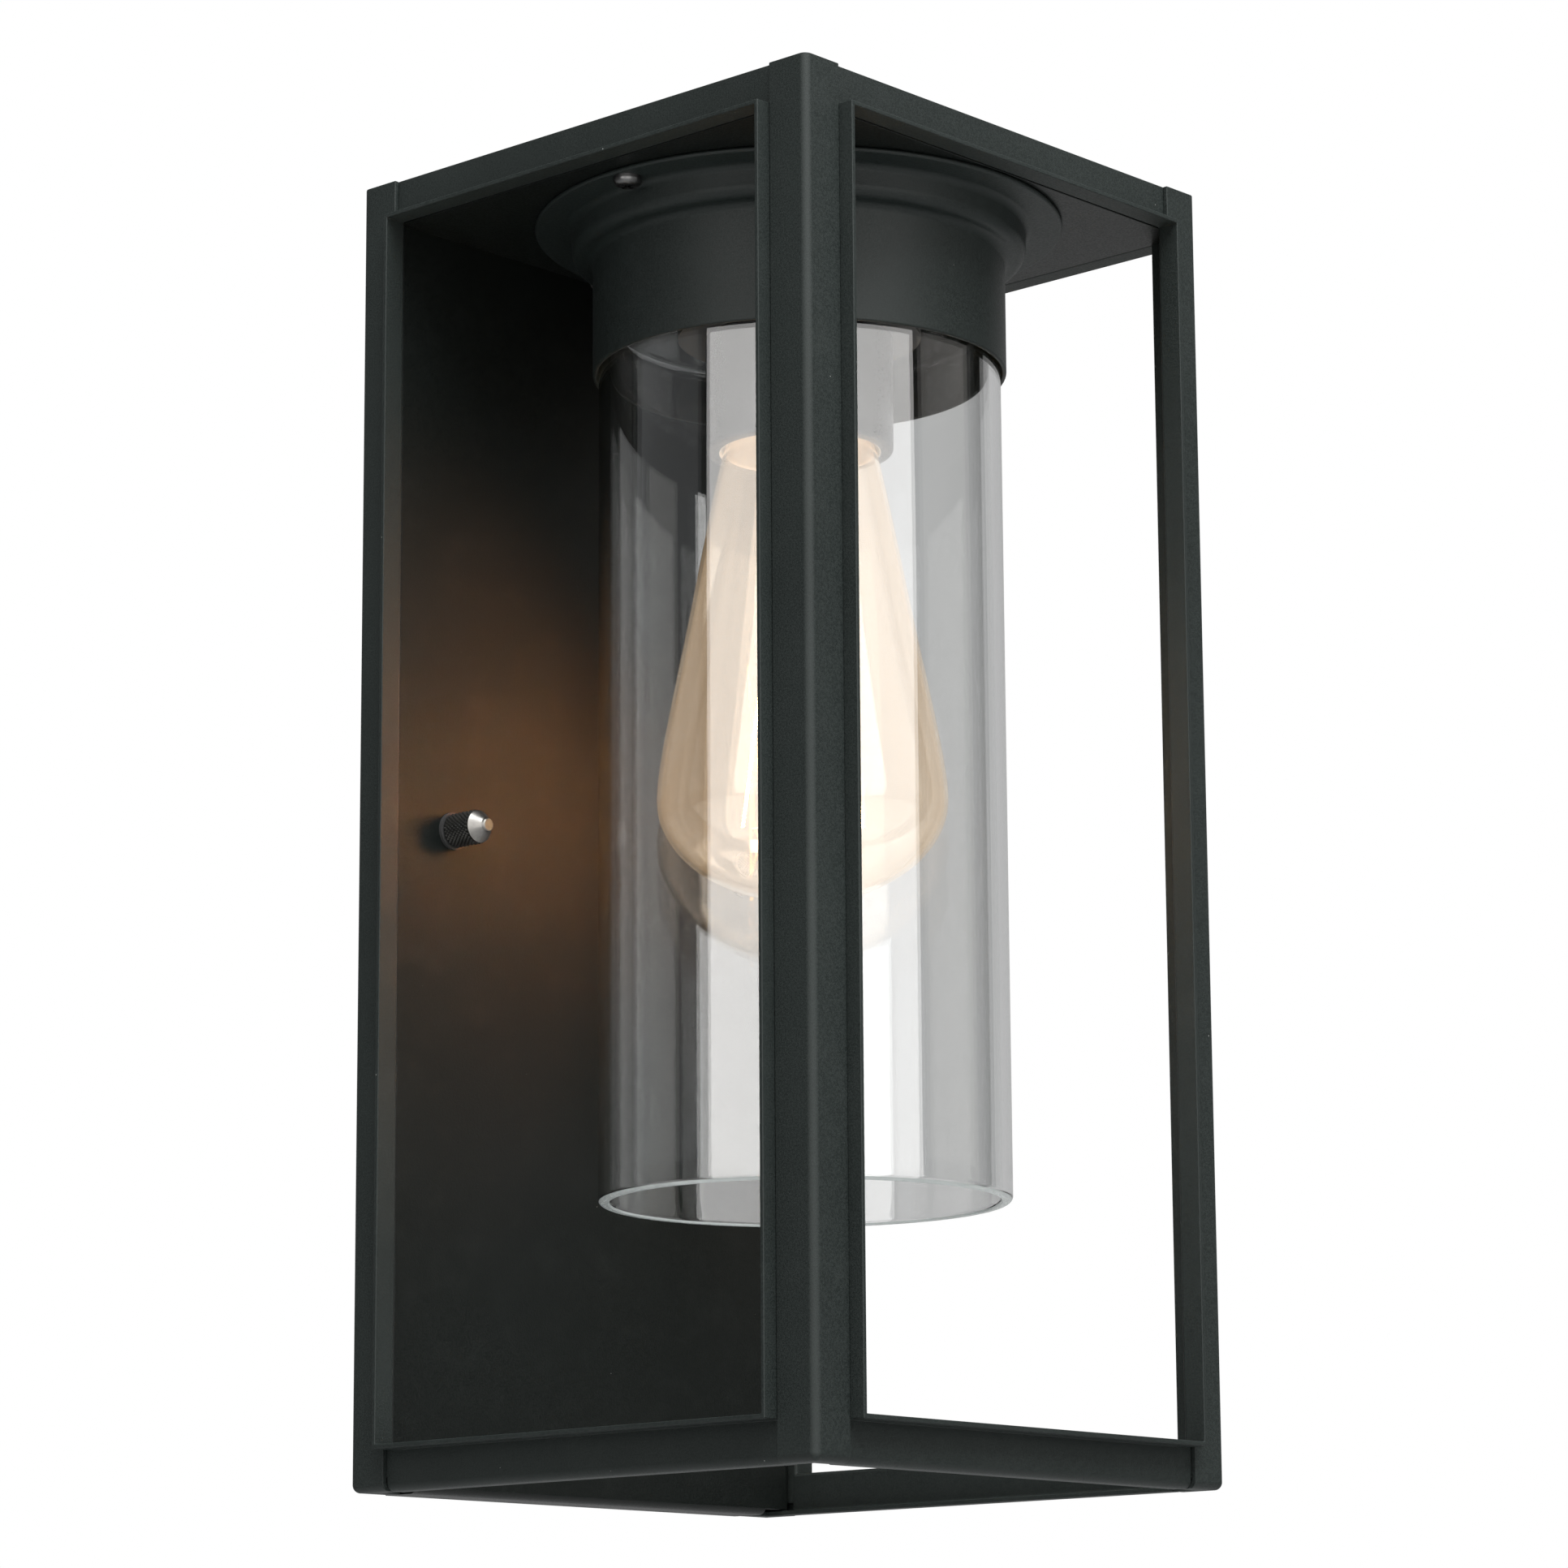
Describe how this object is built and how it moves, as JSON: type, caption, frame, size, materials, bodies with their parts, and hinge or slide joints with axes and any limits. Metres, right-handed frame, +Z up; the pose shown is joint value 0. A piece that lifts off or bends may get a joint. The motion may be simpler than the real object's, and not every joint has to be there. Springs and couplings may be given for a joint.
{
  "type": "outdoor wall lantern",
  "caption": "Box-shaped outdoor wall lantern: open black sheet-metal cage with lipped windows, round collar, clear glass cylinder and a pear-shaped filament bulb.",
  "frame": {"origin": "on the wall plane, at the centre of the crossbar, halfway up the lantern", "axes": "+X to the right seen from the front, +Y into the wall, +Z up"},
  "size_m": [0.1432, 0.1416, 0.3],
  "materials": {
    "powder_coat": "fine-texture powder coat, satin black",
    "clear_glass": "clear, polished",
    "bulb_envelope": "clear with a light amber tint",
    "filament": "glowing wound wire",
    "support_wire": "drawn wire",
    "bulb_cap": "pressed, plated",
    "black_glass": "glossy black insulator",
    "solder": "dull solder",
    "holder_shell": "bright pressed metal",
    "holder_body": "black moulded",
    "ring_black": "moulded black",
    "rubber": "matt black",
    "zinc": "zinc plated",
    "black_screw": "blackened steel, satin",
    "nut_finish": "black nickel, worn bright at the tip",
    "earth_green": "green dyed zinc",
    "copper_lug": "tinned copper",
    "terminal": "white moulded",
    "wire_live": "black silicone insulation",
    "wire_neutral": "white silicone insulation",
    "wire_earth": "green insulation"
  },
  "bodies": {
    "lantern_body": {"post_front_left": "powder_coat", "post_front_right": "powder_coat", "post_rear_left": "powder_coat", "post_rear_right": "powder_coat", "frame_front": "powder_coat", "frame_left": "powder_coat", "frame_right": "powder_coat", "wall_pan": "powder_coat", "roof_plate": "powder_coat", "ceiling_plate": "powder_coat", "crossbar": "zinc", "studs": "zinc", "stud_lock_nuts": "zinc", "earth_screws": "earth_green", "earth_lug": "copper_lug", "earth_wire": "wire_earth", "wire_grommet": "rubber", "terminal_block": "terminal", "fitter_cup": "powder_coat", "fitter_screws": "black_screw", "threaded_nipple": "zinc", "nipple_nut": "zinc", "lampholder_body": "holder_body", "lampholder_shell": "holder_shell", "lampholder_contact": "bulb_cap", "glass_cylinder": "clear_glass", "glass_gasket": "rubber", "retaining_ring": "ring_black", "live_wire": "wire_live", "neutral_wire": "wire_neutral"},
    "bulb": {"bulb_glass": "bulb_envelope", "bulb_stem": "clear_glass", "bulb_filament": "filament", "bulb_supports": "support_wire", "bulb_base": "bulb_cap", "bulb_insulator": "black_glass", "bulb_tip_contact": "solder"},
    "left_washer": {"sealing_washer_left": "rubber"},
    "left_nut": {"knurled_nut_left": "nut_finish"},
    "right_washer": {"sealing_washer_right": "rubber"},
    "right_nut": {"knurled_nut_right": "nut_finish"}
  },
  "joints": [
    {"name": "bulb_withdrawal", "type": "slide", "parent": "lantern_body", "child": "bulb", "axis": [0, 0, -1], "range_m": [0, 0.28]},
    {"name": "left_washer_travel", "type": "slide", "parent": "lantern_body", "child": "left_washer", "axis": [0, -1, 0], "range_m": [0, 0.0098]},
    {"name": "left_nut_turn", "type": "hinge", "parent": "left_washer", "child": "left_nut", "pos_m": [-0.0475, -0.015, 0], "axis": [0, -1, 0], "range_deg": [0, 5040]},
    {"name": "right_washer_travel", "type": "slide", "parent": "lantern_body", "child": "right_washer", "axis": [0, -1, 0], "range_m": [0, 0.0098]},
    {"name": "right_nut_turn", "type": "hinge", "parent": "right_washer", "child": "right_nut", "pos_m": [0.0475, -0.015, 0], "axis": [0, -1, 0], "range_deg": [0, 5040]}
  ],
  "couplings": [
    {"joint": "left_nut_turn", "follows": "left_washer_travel", "rad_per_m": 8976},
    {"joint": "right_nut_turn", "follows": "right_washer_travel", "rad_per_m": 8976}
  ]
}
